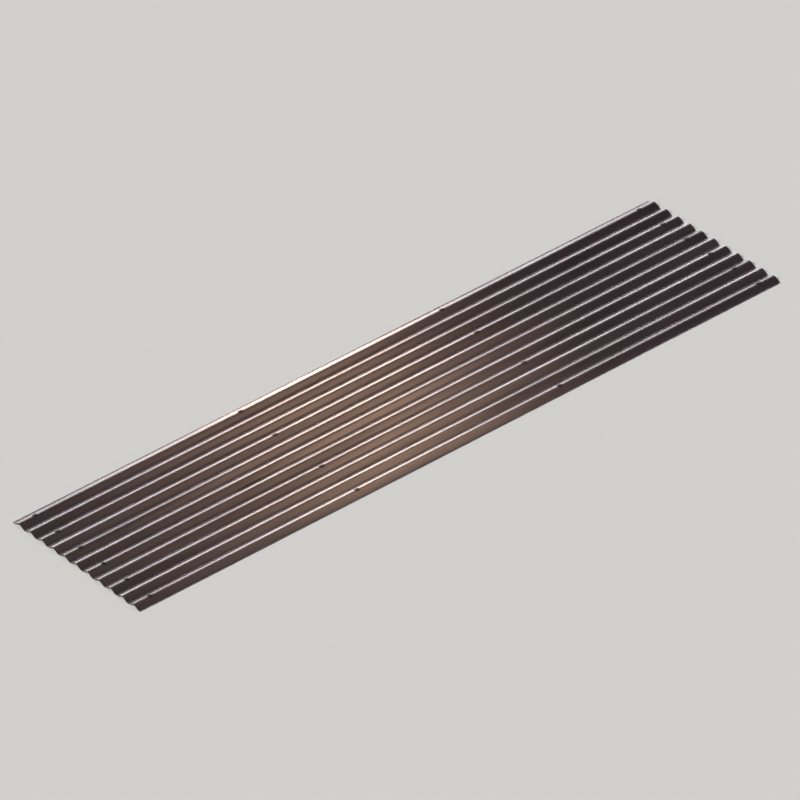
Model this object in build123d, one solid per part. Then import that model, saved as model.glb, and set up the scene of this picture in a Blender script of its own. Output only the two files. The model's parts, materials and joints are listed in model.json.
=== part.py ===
from build123d import *
from math import asin, atan2, ceil, cos, degrees, hypot
import os

# One roofing sheet of roll-formed, coated steel, lying on its troughs on a level floor.
# The corrugations run along X, the sheet's width is along Y, and the lowest line of the
# troughs is at Z = 0. The origin is under the middle of the sheet. Sizes are in millimetres.

# Section
pitch = 76.2              # crest to crest
crest_count = 11          # ten pitches of cover between the two outer crests
depth = 16.0              # rise from trough to crest, both measured on the same face
thickness = 0.48          # coated steel
bend_radius = 22.0        # of crests and troughs, to the middle of the steel
edge_past_crest = 43.0    # from an outer crest to the side edge, just past its trough

# Length, and the rows of screw holes over the supports
length = 3000.0
end_margin = 75.0         # from an end to its row of holes
inner_row_count = 2       # rows between the two end rows, evenly spaced

# Holes, all through crests
hole_diameter = 6.5
end_row_step = 2          # an end row has a hole in every second crest
inner_row_step = 3        # an inner row has a hole in each outer crest, and one this many crests in

# Where the bends and the straight flanks of the section lie, on the middle of the steel.
# A bend can be no larger than the one that leaves no flank between a crest and a trough.
half_pitch = pitch / 2
fullest_radius = (half_pitch**2 + depth**2) / (4 * depth)
radius = min(bend_radius, fullest_radius * 0.98)
bend_centres_rise = 2 * radius - depth
bend_centres_apart = hypot(half_pitch, bend_centres_rise)
flank_angle = asin(2 * radius / bend_centres_apart) - atan2(bend_centres_rise, half_pitch)
corner_overshoot = radius * (1 / cos(flank_angle) - 1)
trough_z = thickness / 2
crest_z = trough_z + depth

outer_crest_y = (crest_count - 1) / 2 * pitch
width = 2 * (outer_crest_y + edge_past_crest)
height = depth + thickness


def crest_y(index):
    """Where a crest lies across the sheet, counted from the edge at -Y."""
    return index * pitch - outer_crest_y


def face_line(side):
    """One face of the section as a rounded zigzag: side is 1 for the upper face and -1 for the lower.

    It runs on past both side edges by at least one corner, and is trimmed later.
    """
    lift = side * thickness / 2 / cos(flank_angle)
    crest_radius = radius + side * thickness / 2
    trough_radius = radius - side * thickness / 2
    spare_steps = ceil(edge_past_crest / half_pitch) + 1
    corners = []
    radii = []
    for step in range(-spare_steps, 2 * (crest_count - 1) + spare_steps + 1):
        y = -outer_crest_y + step * half_pitch
        if step % 2 == 0:
            corners.append((y, crest_z + corner_overshoot + lift))
            radii.append(crest_radius)
        else:
            corners.append((y, trough_z - corner_overshoot + lift))
            radii.append(trough_radius)
    return FilletPolyline(*corners, radius=radii[1:-1])


def section():
    """The corrugated section between the two side edges, in the plane across the sheet."""
    upper = face_line(1)
    lower = face_line(-1)
    ends = [Line(upper @ 0, lower @ 0), Line(upper @ 1, lower @ 1)]
    wave = make_face(Curve() + [upper, lower, *ends])
    between_edges = Pos(0, height / 2) * Rectangle(width, 4 * height)
    return wave & between_edges


def row_places():
    """The distance along the sheet of each row of holes, and the crests that it is drilled through."""
    last = crest_count - 1
    first_x = -length / 2 + end_margin
    row_gap = (length - 2 * end_margin) / (inner_row_count + 1)
    end_crests = sorted({*range(0, last, end_row_step), last})
    inner_crests = sorted({0, inner_row_step, last - inner_row_step, last})
    rows = []
    for row in range(inner_row_count + 2):
        is_end = row in (0, inner_row_count + 1)
        rows.append((first_x + row * row_gap, end_crests if is_end else inner_crests))
    return rows


def drills():
    """A straight drill for every screw hole, as tall as the corrugation and centred on its crest."""
    bit = Cylinder(hole_diameter / 2, depth)
    return [
        Pos(x, crest_y(index), crest_z) * bit
        for x, crests in row_places()
        for index in crests
    ]


sheet = extrude(Plane.YZ * section(), length / 2, both=True) - drills()
sheet = sheet.solid()
sheet.label = "sheet"

print("overall", round(length), "x", round(width, 1), "x", round(height, 2))
print("flank angle", round(degrees(flank_angle), 1), "bend radius", round(radius, 2))
print("flank length", round((bend_centres_apart**2 - 4 * radius**2) ** 0.5, 2))
print("holes", [(round(x), crests) for x, crests in row_places()])

os.makedirs("parts", exist_ok=True)
export_step(sheet, "parts/sheet.step")
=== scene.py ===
import json
import logging
import random
from dataclasses import dataclass
from enum import Enum
from itertools import product
from math import asin, atan, atan2, cos, degrees, hypot, pi, radians, sin, sqrt, tan

import bmesh
import bpy
from mathutils import Matrix, Vector


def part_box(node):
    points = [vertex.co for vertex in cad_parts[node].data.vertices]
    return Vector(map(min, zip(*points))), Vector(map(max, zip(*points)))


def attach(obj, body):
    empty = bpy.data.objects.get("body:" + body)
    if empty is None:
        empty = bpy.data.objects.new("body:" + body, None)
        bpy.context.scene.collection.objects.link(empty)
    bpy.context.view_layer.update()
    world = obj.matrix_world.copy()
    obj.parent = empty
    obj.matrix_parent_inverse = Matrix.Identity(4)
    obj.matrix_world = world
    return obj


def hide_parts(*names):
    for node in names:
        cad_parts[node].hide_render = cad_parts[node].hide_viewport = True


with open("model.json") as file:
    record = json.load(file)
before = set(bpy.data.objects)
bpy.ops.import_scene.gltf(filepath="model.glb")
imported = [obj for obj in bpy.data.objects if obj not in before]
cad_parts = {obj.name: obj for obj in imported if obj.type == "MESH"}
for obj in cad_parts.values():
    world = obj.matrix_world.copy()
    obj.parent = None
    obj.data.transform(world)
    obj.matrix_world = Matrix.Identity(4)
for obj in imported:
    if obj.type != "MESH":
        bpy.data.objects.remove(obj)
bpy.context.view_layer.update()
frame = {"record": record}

# A roll-formed roofing sheet of dark painted steel, lying on its troughs on a pale floor.
# X runs along the corrugations, Y across them and Z up out of the weather face, in metres.

MILLIMETRE = 0.001
log = logging.getLogger("sheet")

# The attribute that holds how far a corner of a face lies from the nearest hole
HOLE_OFFSET = "hole_offset"
# The part of its range that most of a noise lies in
NOISE_BAND = (0.3, 0.7)

Colour = tuple[float, float, float, float]
Triple = tuple[float, float, float]


class Face(Enum):
    """The material slots of the sheet, in their order on the mesh."""

    WEATHER = 0
    UNDERSIDE = 1
    CUT_EDGE = 2
    WASHER_PRINT = 3


def deselect_all() -> None:
    """Leaves object mode with nothing selected and no object active."""
    if bpy.context.object and bpy.context.object.mode != "OBJECT":
        bpy.ops.object.mode_set(mode="OBJECT")
    bpy.ops.object.select_all(action="DESELECT")
    bpy.context.view_layer.objects.active = None


def make_active(piece: bpy.types.Object) -> None:
    """Selects one object alone and makes it active.

    Args:
        piece: the object.
    """
    deselect_all()
    piece.select_set(True)
    bpy.context.view_layer.objects.active = piece


def edit(piece: bpy.types.Object) -> None:
    """Opens one object in edit mode with nothing in it selected.

    Args:
        piece: the object.
    """
    make_active(piece)
    bpy.ops.object.mode_set(mode="EDIT")
    bpy.ops.mesh.select_all(action="DESELECT")


def stop_editing() -> None:
    """Goes back to object mode."""
    bpy.ops.object.mode_set(mode="OBJECT")


class NodeBench:
    """Places nodes in one tree and joins them, so that a finish reads from top to bottom."""

    def __init__(self, tree: bpy.types.NodeTree) -> None:
        """Starts work on a tree."""
        self.tree = tree

    def add(self, kind: str, **settings: object) -> bpy.types.Node:
        """Adds a node.

        Args:
            kind: Blender's name for the kind of node.
            **settings: its settings by name, such as an operation or a data type.

        Returns:
            The node.
        """
        node = self.tree.nodes.new(kind)
        for name, value in settings.items():
            setattr(node, name, value)
        return node

    def join(self, start: bpy.types.NodeSocket, end: bpy.types.NodeSocket) -> None:
        """Links an output to an input."""
        self.tree.links.new(start, end)

    def feed(self, socket: bpy.types.NodeSocket, value: object) -> None:
        """Gives an input its value.

        Args:
            socket: the input.
            value: a socket to link to it, or a plain value.
        """
        if isinstance(value, bpy.types.NodeSocket):
            self.join(value, socket)
        else:
            socket.default_value = value

    def math(self, operation: str, first: object, second: object) -> bpy.types.NodeSocket:
        """Works out a sum on two values.

        Args:
            operation: Blender's name for the sum.
            first: its first value or socket.
            second: its second one.

        Returns:
            The socket of the result.
        """
        node = self.add("ShaderNodeMath", operation=operation)
        self.feed(node.inputs[0], first)
        self.feed(node.inputs[1], second)
        return node.outputs[0]

    def scaled(self, value: object, factor: float, offset: float) -> bpy.types.NodeSocket:
        """A value times a factor, plus an offset."""
        return self.math("ADD", self.math("MULTIPLY", value, factor), offset)

    def swing(self, noise: object, width: float) -> bpy.types.NodeSocket:
        """A noise that varies about 0 instead of 0.5, over that width."""
        return self.math("MULTIPLY", self.math("SUBTRACT", noise, 0.5), width)

    def spread(
        self, value: object, start: object, end: object, low: float = 0.0, high: float = 1.0
    ) -> bpy.types.NodeSocket:
        """Carries a value smoothly from low to high.

        Args:
            value: the value or socket.
            start: the value or socket at which the result is still low.
            end: the one at which it has become high.
            low: the result up to the start.
            high: the result past the end.

        Returns:
            The socket of the result.
        """
        node = self.add("ShaderNodeMapRange", interpolation_type="SMOOTHSTEP")
        self.feed(node.inputs["Value"], value)
        self.feed(node.inputs["From Min"], start)
        self.feed(node.inputs["From Max"], end)
        node.inputs["To Min"].default_value = low
        node.inputs["To Max"].default_value = high
        return node.outputs["Result"]

    def fade(self, value: object, start: object, end: object) -> bpy.types.NodeSocket:
        """A value carried smoothly from 1 at the start down to 0 at the end."""
        return self.spread(value, start, end, 1.0, 0.0)

    def length(self, vector: bpy.types.NodeSocket) -> bpy.types.NodeSocket:
        """Measures a vector.

        Args:
            vector: the socket of the vector.

        Returns:
            The socket of its length.
        """
        node = self.add("ShaderNodeVectorMath", operation="LENGTH")
        self.join(vector, node.inputs[0])
        return node.outputs["Value"]

    def mix(self, share: object, first: object, second: object) -> bpy.types.NodeSocket:
        """Lays one colour over another.

        Args:
            share: how much of the second colour covers the first.
            first: the colour or socket below.
            second: the colour or socket on top.

        Returns:
            The socket of the mixed colour.
        """
        node = self.add("ShaderNodeMix", data_type="RGBA")
        first_colour, second_colour = (socket for socket in node.inputs if socket.type == "RGBA")
        self.feed(node.inputs["Factor"], share)
        self.feed(first_colour, first)
        self.feed(second_colour, second)
        return next(socket for socket in node.outputs if socket.type == "RGBA")

    def noise(self, place: object, cycles: Triple, detail: float) -> bpy.types.NodeSocket:
        """Makes noise with its own number of cycles a metre along, across and up.

        Args:
            place: the socket of the coordinates, in metres.
            cycles: how many cycles a metre it has along X, Y and Z.
            detail: how many finer layers are added to it.

        Returns:
            The noise's value, about 0.5 on average.
        """
        scaled = self.add("ShaderNodeMapping", vector_type="POINT")
        self.join(place, scaled.inputs["Vector"])
        scaled.inputs["Scale"].default_value = cycles
        noise = self.add("ShaderNodeTexNoise")
        self.join(scaled.outputs["Vector"], noise.inputs["Vector"])
        noise.inputs["Scale"].default_value = 1.0
        noise.inputs["Detail"].default_value = detail
        return noise.outputs["Fac"]


def new_group(name: str, inputs: dict[str, str], outputs: dict[str, str]) -> bpy.types.NodeTree:
    """Starts a shader node group.

    Args:
        name: the group's name.
        inputs: the name of each input, and Float, Vector or Color.
        outputs: the same for each output.

    Returns:
        The group's tree, with its input and output nodes in it.
    """
    tree = bpy.data.node_groups.new(name, "ShaderNodeTree")
    for in_out, sockets in (("INPUT", inputs), ("OUTPUT", outputs)):
        for socket, kind in sockets.items():
            tree.interface.new_socket(socket, in_out=in_out, socket_type=f"NodeSocket{kind}")
    tree.nodes.new("NodeGroupInput")
    tree.nodes.new("NodeGroupOutput")
    return tree


def group_ends(tree: bpy.types.NodeTree) -> tuple[bpy.types.Node, bpy.types.Node]:
    """The input and output nodes of a group."""
    return tree.nodes["Group Input"], tree.nodes["Group Output"]


def coil_grain_group() -> bpy.types.NodeTree:
    """The faint marks of a coated coil: long streaks along the rolling and a fine even grain.

    Returns:
        The group, which gives Streaks, Patches and Grain, each about 0.5 on average, and a Height
        for bump.
    """
    tree = new_group(
        "coil_grain",
        {"Place": "Vector"},
        {"Streaks": "Float", "Patches": "Float", "Grain": "Float", "Height": "Float"},
    )
    bench = NodeBench(tree)
    start, end = group_ends(tree)
    place = start.outputs["Place"]
    marks = (
        ("Streaks", (0.9, 17.0, 3.0), 2.0),
        ("Patches", (2.6, 6.0, 2.0), 3.0),
        ("Grain", (700.0, 900.0, 900.0), 1.0),
        ("Height", (9.0, 120.0, 120.0), 1.0),
    )
    for mark, cycles, detail in marks:
        bench.join(bench.noise(place, cycles, detail), end.inputs[mark])
    return tree


def settled_dust_group() -> bpy.types.NodeTree:
    """Dust that rain has washed down into the troughs and left there in long drifts.

    Returns:
        The group, whose Low and High are the heights between which the dust thins out, and which
        gives as Dust its share of the surface.
    """
    tree = new_group(
        "settled_dust",
        {"Place": "Vector", "Low": "Float", "High": "Float"},
        {"Dust": "Float"},
    )
    bench = NodeBench(tree)
    start, end = group_ends(tree)
    shore_cycles, shore_width = (7.0, 30.0, 30.0), 8.0 * MILLIMETRE
    drift_cycles, drift_band = (1.8, 14.0, 14.0), (0.34, 0.7)
    speck_cycles, speck_share = (180.0, 320.0, 320.0), 0.4
    place = start.outputs["Place"]
    parts = bench.add("ShaderNodeSeparateXYZ")
    bench.join(place, parts.inputs[0])
    shift = bench.swing(bench.noise(place, shore_cycles, detail=3.0), shore_width)
    height = bench.math("ADD", parts.outputs["Z"], shift)
    low_lying = bench.fade(height, start.outputs["Low"], start.outputs["High"])
    drifts = bench.spread(bench.noise(place, drift_cycles, detail=4.0), *drift_band)
    specks = bench.spread(bench.noise(place, speck_cycles, detail=2.0), *NOISE_BAND)
    patchy = bench.math("MULTIPLY", drifts, bench.scaled(specks, speck_share, 1 - speck_share))
    bench.join(bench.math("MULTIPLY", low_lying, patchy), end.inputs["Dust"])
    return tree


def washer_print_group() -> bpy.types.NodeTree:
    """What a screw's sealing washer leaves around its hole: a print, and an uneven rim of dirt.

    Returns:
        The group, which reads the offset from the hole. Rings are fine circles in the print that
        go from 1 to 0, and Dirt is the share of the dirt outside it.
    """
    tree = new_group(
        "washer_print",
        {"Offset": "Vector", "Radius": "Float"},
        {"Rings": "Float", "Dirt": "Float"},
    )
    bench = NodeBench(tree)
    start, end = group_ends(tree)
    # The widths and bands are in radii of the washer
    wander_cycles, wander_width = (260.0, 260.0, 260.0), 0.5
    ring_gap, ring_band, ring_wander = 0.09, (0.02, 0.08), 0.1
    dirt_band = (1.1, 1.6)
    offset = start.outputs["Offset"]
    flat = bench.add("ShaderNodeVectorMath", operation="MULTIPLY")
    bench.join(offset, flat.inputs[0])
    flat.inputs[1].default_value = (1.0, 1.0, 0.0)
    distance = bench.length(flat.outputs["Vector"])
    radii = bench.math("DIVIDE", distance, start.outputs["Radius"])
    wander = bench.swing(bench.noise(offset, wander_cycles, detail=2.0), wander_width)
    uneven_rings = bench.math("ADD", radii, bench.math("MULTIPLY", wander, ring_wander))
    circles = bench.math("PINGPONG", uneven_rings, ring_gap)
    bench.join(bench.fade(circles, *ring_band), end.inputs["Rings"])
    bench.join(bench.fade(bench.math("ADD", radii, wander), *dirt_band), end.inputs["Dirt"])
    return tree


@dataclass(frozen=True)
class Effects:
    """The node groups that more than one finish draws on."""

    coil_grain: bpy.types.NodeTree
    settled_dust: bpy.types.NodeTree
    washer_print: bpy.types.NodeTree

    @classmethod
    def build(cls) -> "Effects":
        """Makes each group once."""
        return cls(coil_grain_group(), settled_dust_group(), washer_print_group())

    @staticmethod
    def place(bench: NodeBench, group: bpy.types.NodeTree, **values: object) -> bpy.types.Node:
        """Sets one of the groups into a material.

        Args:
            bench: the bench on the material's nodes.
            group: the group.
            **values: a value or socket for each of its inputs, by name.

        Returns:
            The group's node.
        """
        node = bench.add("ShaderNodeGroup", node_tree=group)
        for name, value in values.items():
            bench.feed(node.inputs[name], value)
        return node

    def place_washer_print(self, bench: NodeBench, radius: float) -> bpy.types.Node:
        """Sets the washer's print into a material, about the hole nearest to each face."""
        offset = bench.add("ShaderNodeAttribute", attribute_name=HOLE_OFFSET).outputs["Vector"]
        return self.place(bench, self.washer_print, Offset=offset, Radius=radius)


def new_material(name: str) -> tuple[bpy.types.Material, NodeBench, bpy.types.Node]:
    """Starts a material.

    Args:
        name: the material's name.

    Returns:
        The material, a bench on its nodes, and its shader.
    """
    material = bpy.data.materials.new(name)
    material.use_nodes = True
    bench = NodeBench(material.node_tree)
    return material, bench, material.node_tree.nodes["Principled BSDF"]


def add_bump(
    bench: NodeBench, shader: bpy.types.Node, height: bpy.types.NodeSocket, depth: float
) -> None:
    """Roughens a shader's surface.

    Args:
        bench: the bench on the material's nodes.
        shader: the material's shader.
        height: the socket of the height, which goes from 0 to 1.
        depth: how deep the roughness is where the height goes from 0 to 1.
    """
    bump = bench.add("ShaderNodeBump")
    bump.inputs["Distance"].default_value = depth
    bench.join(height, bump.inputs["Height"])
    bench.join(bump.outputs["Normal"], shader.inputs["Normal"])


@dataclass(frozen=True)
class WeatherCoat:
    """The dark aubergine topcoat: a matt colour under a satin gloss that dust and dirt dull.

    The gloss is the shader's coat, because its weight may vary over the surface.
    """

    washer_radius: float
    deep: Colour = (0.0150, 0.0058, 0.0095, 1.0)
    light: Colour = (0.0255, 0.0112, 0.0168, 1.0)
    dust: Colour = (0.105, 0.090, 0.085, 1.0)
    dust_share: float = 0.13
    dirt: Colour = (0.012, 0.010, 0.009, 1.0)
    dirt_share: float = 0.8
    grime: Colour = (0.006, 0.005, 0.0045, 1.0)
    grain_share: float = 0.5
    roughness: float = 0.6
    dust_roughness: float = 0.15
    dirt_roughness: float = 0.25
    base_gloss: float = 0.08
    gloss: float = 0.5
    gloss_range: float = 0.35
    gloss_roughness: float = 0.46
    dulled_by_dust: float = 0.35
    dulled_by_dirt: float = 0.9
    dust_low: float = 1.0 * MILLIMETRE
    dust_high: float = 8.0 * MILLIMETRE
    smear_middle: tuple[float, float] = (-0.72, -0.0381)
    smear_half_size: tuple[float, float] = (0.10, 0.011)
    smear_share: float = 0.75
    smear_cycles: Triple = (24.0, 160.0, 160.0)
    smear_edge: tuple[float, float] = (0.5, 1.0)
    bump_depth: float = 0.006 * MILLIMETRE

    def material(self, effects: Effects) -> bpy.types.Material:
        """Makes the finish of the weather face.

        Args:
            effects: the node groups.

        Returns:
            The material.
        """
        material, bench, shader = new_material("weather_coat")
        shader.inputs["Specular IOR Level"].default_value = self.base_gloss
        shader.inputs["Coat Roughness"].default_value = self.gloss_roughness
        place = bench.add("ShaderNodeTexCoord").outputs["Object"]
        grain = Effects.place(bench, effects.coil_grain, Place=place)
        dust = Effects.place(
            bench, effects.settled_dust, Place=place, Low=self.dust_low, High=self.dust_high
        ).outputs["Dust"]
        dirty = effects.place_washer_print(bench, self.washer_radius).outputs["Dirt"]
        smear = bench.math("MULTIPLY", self.smear(bench, place), self.smear_share)
        tone = bench.spread(grain.outputs["Patches"], *NOISE_BAND)
        fine = bench.swing(grain.outputs["Grain"], self.grain_share)
        colour = bench.mix(bench.math("ADD", tone, fine), self.deep, self.light)
        colour = bench.mix(bench.math("MULTIPLY", dust, self.dust_share), colour, self.dust)
        colour = bench.mix(bench.math("MULTIPLY", dirty, self.dirt_share), colour, self.dirt)
        colour = bench.mix(smear, colour, self.grime)
        bench.join(colour, shader.inputs["Base Color"])
        roughness = bench.scaled(dust, self.dust_roughness, self.roughness)
        roughness = bench.math("ADD", roughness, bench.math("MULTIPLY", dirty, self.dirt_roughness))
        bench.join(roughness, shader.inputs["Roughness"])
        streaks = bench.spread(grain.outputs["Streaks"], *NOISE_BAND)
        gloss = bench.scaled(streaks, self.gloss_range, self.gloss - self.gloss_range / 2)
        by_dust, by_dirt = self.dulled_by_dust, self.dulled_by_dirt
        for cover, dulling in ((dust, by_dust), (dirty, by_dirt), (smear, by_dirt)):
            left = bench.math("SUBTRACT", 1.0, bench.math("MULTIPLY", cover, dulling))
            gloss = bench.math("MULTIPLY", gloss, left)
        bench.join(gloss, shader.inputs["Coat Weight"])
        add_bump(bench, shader, grain.outputs["Height"], self.bump_depth)
        return material

    def smear(self, bench: NodeBench, place: bpy.types.NodeSocket) -> bpy.types.NodeSocket:
        """The share of one dark smear that has run along a trough.

        Args:
            bench: the bench on the material's nodes.
            place: the socket of the coordinates, in metres.

        Returns:
            A value of 1 in the middle of the smear and 0 away from it.
        """
        centred = bench.add("ShaderNodeMapping", vector_type="TEXTURE")
        bench.join(place, centred.inputs["Vector"])
        centred.inputs["Location"].default_value = (*self.smear_middle, 0.0)
        centred.inputs["Scale"].default_value = (*self.smear_half_size, 1.0)
        ragged = bench.swing(bench.noise(place, self.smear_cycles, detail=3.0), 1.0)
        reach = bench.math("ADD", bench.length(centred.outputs["Vector"]), ragged)
        return bench.fade(reach, *self.smear_edge)


@dataclass(frozen=True)
class WasherPrint:
    """The matt black print of a rubber sealing washer, with fine circles where it was turned."""

    washer_radius: float
    rubber: Colour = (0.005, 0.004, 0.004, 1.0)
    scuffed: Colour = (0.018, 0.015, 0.015, 1.0)
    roughness: float = 0.8
    gloss: float = 0.12

    def material(self, effects: Effects) -> bpy.types.Material:
        """Makes the finish of the seat round each hole.

        Args:
            effects: the node groups.

        Returns:
            The material.
        """
        material, bench, shader = new_material("washer_print")
        shader.inputs["Specular IOR Level"].default_value = self.gloss
        shader.inputs["Roughness"].default_value = self.roughness
        rings = effects.place_washer_print(bench, self.washer_radius).outputs["Rings"]
        colour = bench.mix(rings, self.rubber, self.scuffed)
        bench.join(colour, shader.inputs["Base Color"])
        return material


@dataclass(frozen=True)
class BackingCoat:
    """The thin grey coat on the underside."""

    grey: Colour = (0.16, 0.155, 0.145, 1.0)
    pale: Colour = (0.24, 0.235, 0.22, 1.0)
    roughness: float = 0.45
    streak_roughness: float = 0.1
    bump_depth: float = 0.006 * MILLIMETRE

    def material(self, effects: Effects) -> bpy.types.Material:
        """Makes the finish of the underside.

        Args:
            effects: the node groups.

        Returns:
            The material.
        """
        material, bench, shader = new_material("backing_coat")
        place = bench.add("ShaderNodeTexCoord").outputs["Object"]
        grain = Effects.place(bench, effects.coil_grain, Place=place)
        tone = bench.spread(grain.outputs["Patches"], *NOISE_BAND)
        bench.join(bench.mix(tone, self.grey, self.pale), shader.inputs["Base Color"])
        roughness = bench.scaled(grain.outputs["Streaks"], self.streak_roughness, self.roughness)
        bench.join(roughness, shader.inputs["Roughness"])
        add_bump(bench, shader, grain.outputs["Height"], self.bump_depth)
        return material


@dataclass(frozen=True)
class CutEdge:
    """Bare sheared steel with its zinc, dulled in patches, on the edges and in the holes."""

    bright: Colour = (0.42, 0.42, 0.43, 1.0)
    dull: Colour = (0.16, 0.145, 0.13, 1.0)
    dulled_metal: float = 0.7
    roughness: float = 0.35
    grain_roughness: float = 0.2
    patch_cycles: Triple = (45.0, 45.0, 45.0)
    patch_band: tuple[float, float] = (0.4, 0.65)

    def material(self, effects: Effects) -> bpy.types.Material:
        """Makes the finish of the cut edges.

        Args:
            effects: the node groups.

        Returns:
            The material.
        """
        material, bench, shader = new_material("cut_edge")
        place = bench.add("ShaderNodeTexCoord").outputs["Object"]
        grain = Effects.place(bench, effects.coil_grain, Place=place)
        patches = bench.spread(bench.noise(place, self.patch_cycles, detail=3.0), *self.patch_band)
        bench.join(bench.mix(patches, self.bright, self.dull), shader.inputs["Base Color"])
        bench.join(bench.scaled(patches, -self.dulled_metal, 1.0), shader.inputs["Metallic"])
        roughness = bench.scaled(grain.outputs["Grain"], self.grain_roughness, self.roughness)
        bench.join(roughness, shader.inputs["Roughness"])
        return material


def named_mount(record: dict, name: str) -> dict:
    """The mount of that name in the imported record."""
    return next(mount for mount in record["mounts"] if mount["name"] == name)


@dataclass(frozen=True)
class Section:
    """The corrugated section across the sheet, along the middle of the steel.

    Bends of one radius alternate with straight flanks. Each side edge lies a little past its
    outermost trough.
    """

    pitch: float
    width: float
    height: float
    crest_count: int = 11
    thickness: float = 0.48 * MILLIMETRE
    bend_radius: float = 22 * MILLIMETRE
    steps_per_bend: int = 16

    @classmethod
    def from_frame(cls, record: dict, low: Vector, high: Vector) -> "Section":
        """Reads the pitch from the outer holes, and the width and height from the solid's box.

        Args:
            record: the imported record, whose mounts give the spacing of the outer crests.
            low: the lowest corner of the sheet's box.
            high: its highest corner.

        Returns:
            The section.
        """
        outer_holes = named_mount(record, "end_row_outer_holes")
        cover = outer_holes["dims"]["spacing_y_mm"] * MILLIMETRE
        size = high - low
        return cls(pitch=cover / (cls.crest_count - 1), width=size.y, height=size.z)

    @property
    def half_pitch(self) -> float:
        """The distance across the sheet from a crest to the next trough."""
        return self.pitch / 2

    @property
    def trough_z(self) -> float:
        """The height of the middle of the steel at the bottom of a trough."""
        return self.thickness / 2

    @property
    def crest_z(self) -> float:
        """The height of the middle of the steel at the top of a crest."""
        return self.height - self.thickness / 2

    @property
    def centres_rise(self) -> float:
        """How much higher the centre of a trough's bend lies than the centre of a crest's."""
        return 2 * self.bend_radius - (self.crest_z - self.trough_z)

    @property
    def flank_angle(self) -> float:
        """The slope of the flanks, which is also half the turn of each bend.

        Returns:
            The angle from level.
        """
        centres_apart = hypot(self.half_pitch, self.centres_rise)
        centres_slope = atan2(self.centres_rise, self.half_pitch)
        return asin(2 * self.bend_radius / centres_apart) - centres_slope

    @property
    def flank_length(self) -> float:
        """The length of the straight between two bends."""
        return sqrt(self.half_pitch**2 + self.centres_rise**2 - 4 * self.bend_radius**2)

    @property
    def outer_crest_y(self) -> float:
        """How far the outer crests lie from the middle of the sheet."""
        return (self.crest_count - 1) / 2 * self.pitch

    @property
    def edge_turn(self) -> float:
        """The turn from the bottom of an outer trough to the side edge past it."""
        past_trough = self.width / 2 - self.outer_crest_y - self.half_pitch
        return asin(past_trough / (self.bend_radius + self.thickness / 2))

    def crest_y(self, index: int) -> float:
        """Where a crest lies across the sheet, counted from the edge at -Y."""
        return index * self.pitch - self.outer_crest_y


@dataclass(frozen=True)
class HoleRow:
    """A row of screw holes across the sheet, over one support."""

    x: float
    crests: tuple[int, ...]


@dataclass(frozen=True)
class HolePlan:
    """Where the screw holes are: two end rows and two inner rows."""

    end_x: float
    inner_x: float
    radius: float
    inner_crest: int
    crest_count: int
    end_row_step: int = 2

    @classmethod
    def from_frame(cls, record: dict, section: Section) -> "HolePlan":
        """Reads the rows from the record's three patterns of four holes.

        Args:
            record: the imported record.
            section: the sheet's section, for the pitch.

        Returns:
            The plan.
        """
        end = named_mount(record, "end_row_outer_holes")["dims"]
        inner = named_mount(record, "inner_row_crest_holes")["dims"]
        half_count = (section.crest_count - 1) // 2
        from_middle = inner["spacing_y_mm"] * MILLIMETRE / 2 / section.pitch
        return cls(
            end_x=end["spacing_x_mm"] * MILLIMETRE / 2,
            inner_x=inner["spacing_x_mm"] * MILLIMETRE / 2,
            radius=end["hole_r_mm"] * MILLIMETRE,
            inner_crest=half_count - round(from_middle),
            crest_count=section.crest_count,
        )

    def rows(self) -> list[HoleRow]:
        """Sets out the holes over each support.

        Returns:
            The four rows, from -X to +X.
        """
        last = self.crest_count - 1
        end_crests = tuple(range(0, last + 1, self.end_row_step))
        inner_crests = (0, self.inner_crest, last - self.inner_crest, last)
        return [
            HoleRow(-self.end_x, end_crests),
            HoleRow(-self.inner_x, inner_crests),
            HoleRow(self.inner_x, inner_crests),
            HoleRow(self.end_x, end_crests),
        ]


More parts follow.
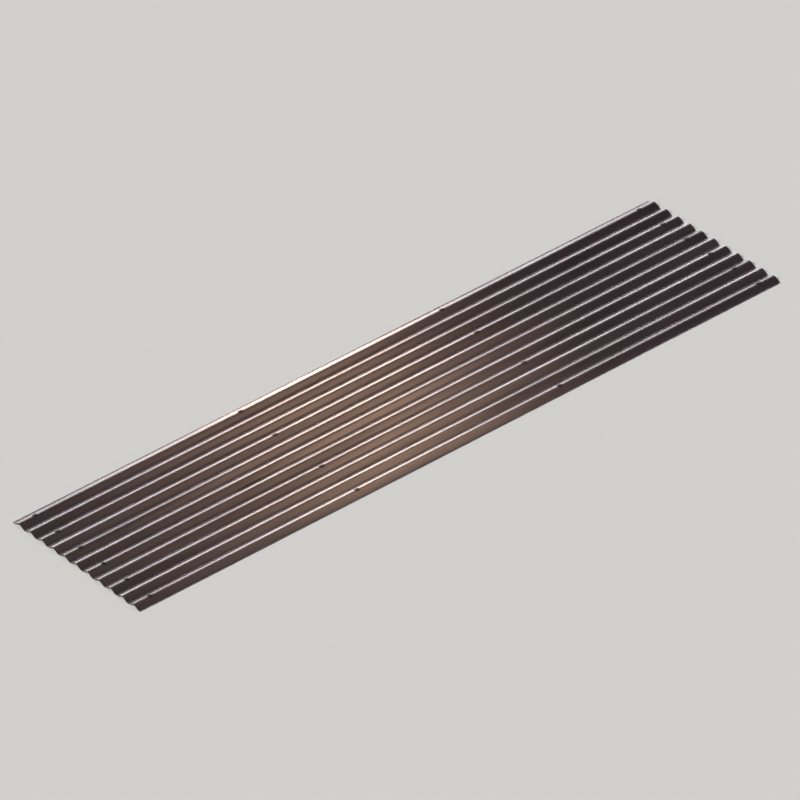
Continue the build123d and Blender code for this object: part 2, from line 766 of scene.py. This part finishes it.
@dataclass
class RoofingSheet:
    """The sheet: its corrugations, its screw holes in their dented seats, and its thickness."""

    section: Section
    holes: HolePlan
    length: float
    coarse_step: float = 95 * MILLIMETRE
    steps_beside_hole: int = 6
    row_margins: tuple[float, ...] = (12 * MILLIMETRE, 17 * MILLIMETRE, 26 * MILLIMETRE)
    rim_rings: tuple[float, ...] = (4.0 * MILLIMETRE, 5.2 * MILLIMETRE, 6.6 * MILLIMETRE)
    washer_radius: float = 8.0 * MILLIMETRE
    lip_drop: float = 0.15 * MILLIMETRE
    dent_depths: tuple[float, float] = (0.3 * MILLIMETRE, 0.8 * MILLIMETRE)
    dent_reach: float = 22 * MILLIMETRE
    sharp_edge: float = radians(40)
    merge_distance: float = 0.001 * MILLIMETRE
    seed: int = 7

    def build(self) -> bpy.types.Object:
        """Makes the whole sheet as one mesh, in its place.

        Returns:
            The sheet's object, with one material slot for each kind of face still to be filled.
        """
        sheet = self.roll_corrugations()
        rims = self.model_rims(sheet)
        self.cut_seats(sheet)
        self.join_rims(sheet, rims)
        self.turn_down_lips(sheet)
        self.dent_seats(sheet)
        self.face_upwards(sheet)
        self.thicken(sheet)
        self.mark_washer_prints(sheet)
        self.note_hole_offsets(sheet)
        sheet.name = sheet.data.name = "corrugated_sheet"
        return sheet

    def hole_places(self) -> list[Vector]:
        """Sets out the screw holes.

        Returns:
            The centre of each hole, at the middle of the steel on its crest.
        """
        return [
            Vector((row.x, self.section.crest_y(index), self.section.crest_z))
            for row in self.holes.rows()
            for index in row.crests
        ]

    def seat_half_width(self) -> float:
        """Half the side of the square of faces that is cut away for each hole's rim."""
        turn = 2 * self.section.flank_angle * self.steps_beside_hole / self.section.steps_per_bend
        return self.section.bend_radius * sin(turn)

    def stations(self) -> list[float]:
        """Sets out the lines of vertices across the sheet, closest together at the holes.

        Returns:
            The place of each line along the sheet, from -X to +X.
        """
        step = self.seat_half_width() / self.steps_beside_hole
        beside = [step * count for count in range(self.steps_beside_hole + 1)]
        beside.extend(self.row_margins)
        marks = {-self.length / 2, self.length / 2}
        for row in self.holes.rows():
            marks.update(row.x + side * gap for gap in beside for side in (-1, 1))
        ordered = sorted(marks)
        places = [ordered[0]]
        for start, end in zip(ordered, ordered[1:]):
            parts = max(1, round((end - start) / self.coarse_step))
            places.extend(start + (end - start) * part / parts for part in range(1, parts + 1))
        return places

    def roll_corrugations(self) -> bpy.types.Object:
        """Draws the section at one end with spun bends and straight flanks, then draws it out.

        Returns:
            The corrugated surface along the middle of the steel, with no thickness and no holes.
        """
        section = self.section
        places = self.stations()
        deselect_all()
        bpy.ops.mesh.primitive_plane_add(size=section.thickness)
        sheet = bpy.context.object
        bpy.ops.object.mode_set(mode="EDIT")
        bpy.ops.mesh.select_all(action="SELECT")
        bpy.ops.mesh.merge(type="CENTER")
        bend = section.bend_radius
        first_trough = -section.outer_crest_y - section.half_pitch
        edge_y = first_trough - bend * sin(section.edge_turn)
        edge_z = section.trough_z + bend * (1 - cos(section.edge_turn))
        bpy.ops.transform.translate(value=(places[0], edge_y, edge_z))
        bends = 2 * section.crest_count + 1
        for number in range(bends):
            is_crest = number % 2 == 1
            at_side = number in (0, bends - 1)
            y = first_trough + number * section.half_pitch
            turn = section.flank_angle + (section.edge_turn if at_side else section.flank_angle)
            self.spin_bend(sheet, y, turn, is_crest)
            if number < bends - 1:
                self.draw_flank(sheet, downwards=is_crest)
        bpy.ops.mesh.select_all(action="SELECT")
        for start, end in zip(places, places[1:]):
            bpy.ops.mesh.extrude_edges_move(TRANSFORM_OT_translate={"value": (end - start, 0, 0)})
        stop_editing()
        return sheet

    def spin_bend(self, sheet: bpy.types.Object, y: float, turn: float, is_crest: bool) -> None:
        """Carries the free end of the section round one crest or trough.

        Args:
            sheet: the object in edit mode.
            y: where the bend's axis lies across the sheet.
            turn: the angle that it turns through.
            is_crest: whether the bend curves down on both sides, instead of up.
        """
        section = self.section
        full_turn = 2 * section.flank_angle
        steps = max(2, round(section.steps_per_bend * turn / full_turn))
        axis_z = section.trough_z + section.bend_radius
        if is_crest:
            axis_z = section.crest_z - section.bend_radius
        self.select_free_end(sheet)
        bpy.ops.mesh.spin(
            steps=steps,
            angle=turn if is_crest else -turn,
            center=(-self.length / 2, y, axis_z),
            axis=(1, 0, 0),
        )

    def draw_flank(self, sheet: bpy.types.Object, downwards: bool) -> None:
        """Carries the free end of the section down or up one straight flank.

        Args:
            sheet: the object in edit mode.
            downwards: whether the flank goes down to a trough.
        """
        across = self.section.flank_length * cos(self.section.flank_angle)
        rise = self.section.flank_length * sin(self.section.flank_angle)
        self.select_free_end(sheet)
        bpy.ops.mesh.extrude_vertices_move(
            TRANSFORM_OT_translate={"value": (0, across, -rise if downwards else rise)}
        )

    @staticmethod
    def select_free_end(sheet: bpy.types.Object) -> None:
        """Selects the vertex that lies furthest across the sheet, where its section is drawn on.

        Args:
            sheet: the object in edit mode.
        """
        bpy.ops.mesh.select_all(action="DESELECT")
        mesh = bmesh.from_edit_mesh(sheet.data)
        max(mesh.verts, key=lambda vertex: vertex.co.y).select_set(True)
        mesh.select_flush_mode()
        bmesh.update_edit_mesh(sheet.data)

    def model_rims(self, sheet: bpy.types.Object) -> bpy.types.Object:
        """Models one hole's rim, copies it to every hole and lays the copies on the crests.

        Args:
            sheet: the surface that the rims are laid on, before any hole is cut.

        Returns:
            One object that holds all the rims.
        """
        deselect_all()
        # The square seat has this many steps round it, and each is bridged to one of the rim
        steps_round_seat = 4 * 2 * self.steps_beside_hole
        bpy.ops.mesh.primitive_circle_add(
            vertices=steps_round_seat, radius=self.holes.radius, fill_type="NOTHING"
        )
        rim = bpy.context.object
        bpy.ops.object.mode_set(mode="EDIT")
        bpy.ops.mesh.select_all(action="SELECT")
        radius = self.holes.radius
        for ring in (*self.rim_rings, self.washer_radius):
            bpy.ops.mesh.extrude_edges_move()
            bpy.ops.transform.resize(value=(ring / radius, ring / radius, 1))
            radius = ring
        stop_editing()
        copies = []
        for place in self.hole_places():
            copy = rim.copy()
            copy.data = rim.data.copy()
            copy.location = place
            bpy.context.collection.objects.link(copy)
            copies.append(copy)
        bpy.data.objects.remove(rim)
        make_active(copies[0])
        for copy in copies:
            copy.select_set(True)
        bpy.ops.object.join()
        rims = bpy.context.object
        bpy.ops.object.transform_apply(location=True)
        lay = rims.modifiers.new("lay_on_crests", "SHRINKWRAP")
        lay.target = sheet
        lay.wrap_method = "PROJECT"
        lay.use_project_z = True
        lay.use_positive_direction = True
        lay.use_negative_direction = True
        bpy.ops.object.modifier_apply(modifier=lay.name)
        return rims

    def cut_seats(self, sheet: bpy.types.Object) -> None:
        """Deletes the square of faces around each hole's place.

        Args:
            sheet: the corrugated surface.
        """
        half = self.seat_half_width()
        places = self.hole_places()
        edit(sheet)
        mesh = bmesh.from_edit_mesh(sheet.data)
        for face in mesh.faces:
            middle = face.calc_center_median()
            offsets = [middle - place for place in places]
            face.select_set(any(max(abs(gap.x), abs(gap.y)) < half for gap in offsets))
        bmesh.update_edit_mesh(sheet.data)
        bpy.ops.mesh.delete(type="FACE")
        stop_editing()

    def join_rims(self, sheet: bpy.types.Object, rims: bpy.types.Object) -> None:
        """Joins the rims to the sheet and bridges each one to the edge of its seat.

        Args:
            sheet: the surface with the seats cut away.
            rims: the object that holds all the rims.
        """
        make_active(sheet)
        rims.select_set(True)
        bpy.ops.object.join()
        bpy.ops.object.mode_set(mode="EDIT")
        bpy.ops.mesh.select_mode(type="EDGE")
        just_past_seat = self.seat_half_width() * 1.01
        for hole in self.hole_places():
            bpy.ops.mesh.select_all(action="DESELECT")
            mesh = bmesh.from_edit_mesh(sheet.data)
            for edge in mesh.edges:
                if not edge.is_boundary:
                    continue
                offset = (edge.verts[0].co + edge.verts[1].co) / 2 - hole
                near = max(abs(offset.x), abs(offset.y)) < just_past_seat
                edge.select_set(near and hypot(offset.x, offset.y) > self.rim_rings[-1])
            bmesh.update_edit_mesh(sheet.data)
            bpy.ops.mesh.bridge_edge_loops()
        bpy.ops.mesh.select_mode(type="VERT")
        bpy.ops.mesh.select_all(action="SELECT")
        bpy.ops.mesh.remove_doubles(threshold=self.merge_distance)
        stop_editing()

    def select_lip(self, sheet: bpy.types.Object, hole: Vector) -> None:
        """Selects the vertices on the edge of one hole.

        Args:
            sheet: the object in edit mode.
            hole: the centre of the hole.
        """
        bpy.ops.mesh.select_all(action="DESELECT")
        mesh = bmesh.from_edit_mesh(sheet.data)
        reach = (self.holes.radius + self.rim_rings[0]) / 2
        for vertex in mesh.verts:
            vertex.select_set(hypot(vertex.co.x - hole.x, vertex.co.y - hole.y) < reach)
        mesh.select_flush_mode()
        bmesh.update_edit_mesh(sheet.data)

    def turn_down_lips(self, sheet: bpy.types.Object) -> None:
        """Presses the very edge of each hole down a little, as a driven screw leaves it.

        Args:
            sheet: the surface with its holes.
        """
        edit(sheet)
        for hole in self.hole_places():
            self.select_lip(sheet, hole)
            bpy.ops.transform.translate(value=(0, 0, -self.lip_drop))
        stop_editing()

    def dent_seats(self, sheet: bpy.types.Object) -> None:
        """Lowers the crest around each hole, each by its own depth, fading out along the crest.

        Args:
            sheet: the surface with its holes.
        """
        depths = random.Random(self.seed)
        edit(sheet)
        for hole in self.hole_places():
            self.select_lip(sheet, hole)
            bpy.ops.transform.translate(
                value=(0, 0, -depths.uniform(*self.dent_depths)),
                use_proportional_edit=True,
                proportional_edit_falloff="SMOOTH",
                proportional_size=self.dent_reach,
            )
        stop_editing()

    @staticmethod
    def face_upwards(sheet: bpy.types.Object) -> None:
        """Makes all the faces of the open surface agree, with the weather face up.

        Args:
            sheet: the surface, before it has its thickness.
        """
        edit(sheet)
        bpy.ops.mesh.select_all(action="SELECT")
        bpy.ops.mesh.normals_make_consistent(inside=False)
        mesh = bmesh.from_edit_mesh(sheet.data)
        if sum(face.normal.z * face.calc_area() for face in mesh.faces) < 0:
            bpy.ops.mesh.flip_normals()
        stop_editing()

    def thicken(self, sheet: bpy.types.Object) -> None:
        """Gives the surface its thickness, with slots of their own for underside and cut edges.

        Args:
            sheet: the surface, with all its faces up.
        """
        make_active(sheet)
        for _ in Face:
            sheet.data.materials.append(None)
        steel = sheet.modifiers.new("steel", "SOLIDIFY")
        steel.thickness = self.section.thickness
        steel.offset = 0
        steel.use_even_offset = True
        steel.material_offset = Face.UNDERSIDE.value
        steel.material_offset_rim = Face.CUT_EDGE.value
        bpy.ops.object.modifier_apply(modifier=steel.name)
        bpy.ops.object.shade_smooth_by_angle(angle=self.sharp_edge)

    def mark_washer_prints(self, sheet: bpy.types.Object) -> None:
        """Gives the weather face under each screw's washer a slot of its own.

        Args:
            sheet: the sheet with its thickness.
        """
        holes = self.hole_places()
        edit(sheet)
        mesh = bmesh.from_edit_mesh(sheet.data)
        for face in mesh.faces:
            middle = face.calc_center_median()
            distances = [hypot(middle.x - hole.x, middle.y - hole.y) for hole in holes]
            under_washer = min(distances) < self.washer_radius
            face.select_set(under_washer and face.material_index == Face.WEATHER.value)
        bmesh.update_edit_mesh(sheet.data)
        sheet.active_material_index = Face.WASHER_PRINT.value
        bpy.ops.object.material_slot_assign()
        stop_editing()

    def note_hole_offsets(self, sheet: bpy.types.Object) -> None:
        """Stores on each corner of each face how far it lies from the hole nearest to that face.

        The finish draws the prints of the washers from this attribute.

        Args:
            sheet: the sheet with its thickness.
        """
        holes = self.hole_places()
        mesh = sheet.data
        offsets = mesh.attributes.new(HOLE_OFFSET, "FLOAT_VECTOR", "CORNER")
        for polygon in mesh.polygons:
            nearest = min(holes, key=lambda hole: (hole - polygon.center).length_squared)
            for corner in polygon.loop_indices:
                vertex = mesh.vertices[mesh.loops[corner].vertex_index]
                offsets.data[corner].vector = vertex.co - nearest

    def dress(self, sheet: bpy.types.Object) -> None:
        """Fills the sheet's four material slots.

        Args:
            sheet: the finished sheet.
        """
        effects = Effects.build()
        finishes = {
            Face.WEATHER: WeatherCoat(self.washer_radius),
            Face.UNDERSIDE: BackingCoat(),
            Face.CUT_EDGE: CutEdge(),
            Face.WASHER_PRINT: WasherPrint(self.washer_radius),
        }
        for face, finish in finishes.items():
            material = finish.material(effects)
            sheet.data.materials[face.value] = material
            log.info("%s dressed in %s", face.name.lower(), material.name)


@dataclass(frozen=True)
class Lamp:
    """A rectangular softbox that faces a place on the sheet and is seen only as gloss."""

    name: str
    place: Triple
    aim: Triple
    size: tuple[float, float]
    power: float
    tint: Triple
    spread: float = pi

    def build(self) -> None:
        """Stands the lamp in the scene, with its long side along the sheet."""
        light = bpy.data.lights.new(self.name, "AREA")
        light.shape = "RECTANGLE"
        light.size, light.size_y = self.size
        light.energy = self.power
        light.color = self.tint
        light.spread = self.spread
        lamp = bpy.data.objects.new(self.name, light)
        backwards = (Vector(self.place) - Vector(self.aim)).normalized()
        along = Vector((1, 0, 0)) - backwards * backwards.x
        along.normalize()
        turn = Matrix((along, backwards.cross(along), backwards)).transposed().to_4x4()
        lamp.matrix_world = Matrix.Translation(self.place) @ turn
        lamp.visible_camera = False
        lamp.visible_diffuse = False
        bpy.context.scene.collection.objects.link(lamp)


@dataclass(frozen=True)
class Viewpoint:
    """A long lens that looks down on the sheet, turned so that its crests rise to the right."""

    elevation: float = radians(33)
    corrugation_turn: float = radians(31)
    crest_rise: float = radians(27)
    lens: float = 479.0
    sensor: float = 36.0
    margin: float = 1.04

    def axes(self) -> tuple[Vector, Vector, Vector]:
        """The camera's right, up and backward directions.

        The corrugations run away from the camera to its right at corrugation_turn. A roll then
        brings the crests to crest_rise above the picture's horizontal.

        Returns:
            The three directions.
        """
        turn, drop = self.corrugation_turn, self.elevation
        level_right = Vector((cos(turn), -sin(turn), 0))
        level_forward = Vector((sin(turn), cos(turn), 0))
        forward = level_forward * cos(drop) - Vector((0, 0, sin(drop)))
        level_up = level_right.cross(forward)
        roll = self.crest_rise - atan(tan(turn) * sin(drop))
        right = level_right * cos(roll) - level_up * sin(roll)
        up = level_right * sin(roll) + level_up * cos(roll)
        return right, up, -forward

    def gloss_direction(self, height_angle: float) -> Vector:
        """Where a lamp is seen in the crests, by its angle above the floor across the sheet.

        A ridge along X turns the view back across itself but keeps its travel along X.

        Args:
            height_angle: the lamp's angle above the floor, in the plane across the sheet.

        Returns:
            The direction from the sheet to the lamp, with a length of 1 across and up.
        """
        _, _, backward = self.axes()
        along = -backward.x
        across_and_up = sqrt(1 - along**2)
        return Vector((along / across_and_up, cos(height_angle), sin(height_angle)))

    def build(self, low: Vector, high: Vector) -> bpy.types.Object:
        """Makes the camera and sets it back until the whole box fills the square frame.

        Args:
            low: the lowest corner of the box.
            high: its highest corner.

        Returns:
            The camera.
        """
        right, up, backward = self.axes()
        middle = (low + high) / 2
        corners = [Vector(corner) for corner in product(*zip(low, high))]
        spans = []
        for axis in (right, up):
            reaches = [corner.dot(axis) for corner in corners]
            spans.append(max(reaches) - min(reaches))
        half_view = atan(self.sensor / 2 / self.lens)
        distance = max(spans) * self.margin / 2 / tan(half_view)
        lens = bpy.data.cameras.new("long_lens")
        lens.lens = self.lens
        lens.sensor_width = self.sensor
        lens.clip_end = 4 * distance
        camera = bpy.data.objects.new("long_lens", lens)
        camera.matrix_world = (
            Matrix.Translation(middle + backward * distance)
            @ Matrix((right, up, backward)).transposed().to_4x4()
        )
        bpy.context.scene.collection.objects.link(camera)
        bpy.context.scene.camera = camera
        return camera


@dataclass(frozen=True)
class Studio:
    """A pale floor, an even sky, one soft key, and the low lights that show in the gloss."""

    view: Viewpoint
    floor_size: float = 400.0
    floor_tone: Colour = (0.72, 0.71, 0.69, 1.0)
    floor_roughness: float = 0.9
    sky: float = 0.30
    key_strength: float = 2.37
    key_from: Triple = (-0.62, 0.10, 0.78)
    key_softness: float = radians(35)
    rim_height_angle: float = radians(16)
    rim_softness: float = radians(32)
    rim_strength: float = 4.3
    rim_tint: Triple = (1.0, 0.92, 0.96)
    across_distance: float = 4.2
    across_size: tuple[float, float] = (9.0, 1.0)
    across_power: float = 620.0
    glow_x: float = -0.3
    glow_distance: float = 2.0
    glow_spread: float = radians(60)
    glow_tint: Triple = (1.0, 0.62, 0.40)
    crest_glow_size: tuple[float, float] = (0.7, 0.8)
    crest_glow_power: float = 8.0
    flank_height_angle: float = radians(101)
    flank_glow_size: tuple[float, float] = (0.7, 0.6)
    flank_glow_power: float = 8.0

    def build(self) -> None:
        """Lays the floor and stands the lights."""
        self.lay_floor()
        self.light_sky()
        self.hang_sun("key", Vector(self.key_from), self.key_strength, self.key_softness)
        self.hang_rim()
        self.stand_softboxes()

    def lay_floor(self) -> None:
        """A level floor under the troughs, far wider than any view of the sheet."""
        deselect_all()
        bpy.ops.mesh.primitive_plane_add(size=self.floor_size)
        floor = bpy.context.object
        floor.name = "floor"
        material, _, shader = new_material("pale_floor")
        shader.inputs["Base Color"].default_value = self.floor_tone
        shader.inputs["Roughness"].default_value = self.floor_roughness
        shader.inputs["Specular IOR Level"].default_value = 0.0
        floor.data.materials.append(material)

    def light_sky(self) -> None:
        """Even light from all round."""
        world = bpy.data.worlds.new("soft_sky")
        world.use_nodes = True
        background = world.node_tree.nodes["Background"]
        background.inputs["Color"].default_value = (1, 1, 1, 1)
        background.inputs["Strength"].default_value = self.sky
        bpy.context.scene.world = world

    @staticmethod
    def hang_sun(
        name: str, light_from: Vector, strength: float, softness: float
    ) -> bpy.types.Object:
        """A far light that falls evenly on the whole sheet and floor.

        Args:
            name: the name of the lamp.
            light_from: the direction from the sheet to the light.
            strength: its strength, as Blender's sun has it.
            softness: the angle that it fills, seen from the sheet.

        Returns:
            The lamp.
        """
        light = bpy.data.lights.new(name, "SUN")
        light.energy = strength
        light.angle = softness
        sun = bpy.data.objects.new(name, light)
        sun.matrix_world = light_from.to_track_quat("Z", "Y").to_matrix().to_4x4()
        bpy.context.scene.collection.objects.link(sun)
        return sun

    def hang_rim(self) -> None:
        """A low light from across the sheet, seen only as the bright line along each crest."""
        light_from = self.view.gloss_direction(self.rim_height_angle)
        rim = self.hang_sun("rim", light_from, self.rim_strength, self.rim_softness)
        rim.data.color = self.rim_tint
        rim.visible_diffuse = False

    def mirrored(self, x: float, height_angle: float, distance: float) -> Triple:
        """Where a lamp stands whose reflection the camera sees in the sheet.

        Args:
            x: the place along the sheet where it is reflected.
            height_angle: the lamp's angle above the floor, in the plane across the sheet.
            distance: how far it stands from the sheet in that plane.

        Returns:
            The lamp's place.
        """
        away = self.view.gloss_direction(height_angle) * distance
        return x + away.x, away.y, away.z

    def stand_softboxes(self) -> None:
        """A long softbox across from the rim light, for views from behind, and two for the glow.

        The glow is a warm patch left of the middle, on the crests and on the flanks between them.
        """
        _, y, z = self.mirrored(0.0, self.rim_height_angle, self.across_distance)
        size, power = self.across_size, self.across_power
        Lamp("rim_across", (0, -y, z), (0, 0, 0), size, power, self.rim_tint).build()
        aim = (self.glow_x, 0, 0)
        glows = (
            ("crest_glow", self.rim_height_angle, self.crest_glow_size, self.crest_glow_power),
            ("flank_glow", self.flank_height_angle, self.flank_glow_size, self.flank_glow_power),
        )
        for name, height_angle, size, power in glows:
            place = self.mirrored(self.glow_x, height_angle, self.glow_distance)
            Lamp(name, place, aim, size, power, self.glow_tint, self.glow_spread).build()


def main() -> None:
    """Builds the camera, the sheet and the studio, in that order."""
    logging.basicConfig(level=logging.INFO, format="%(name)s: %(message)s")
    low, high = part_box("sheet")
    view = Viewpoint()
    camera = view.build(low, high)
    log.info("camera %.1f m away", camera.location.length)
    section = Section.from_frame(frame["record"], low, high)
    holes = HolePlan.from_frame(frame["record"], section)
    roofing = RoofingSheet(section, holes, (high - low).x)
    sheet = roofing.build()
    roofing.dress(sheet)
    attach(sheet, "root")
    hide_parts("sheet")
    faces, slope = len(sheet.data.polygons), degrees(section.flank_angle)
    log.info("%s: %d faces, flanks at %.1f degrees", sheet.name, faces, slope)
    Studio(view).build()
    log.info("studio lit by %d lamps", len(bpy.data.lights))
    bpy.context.scene.view_settings.view_transform = "Standard"


if __name__ == "__main__":
    main()
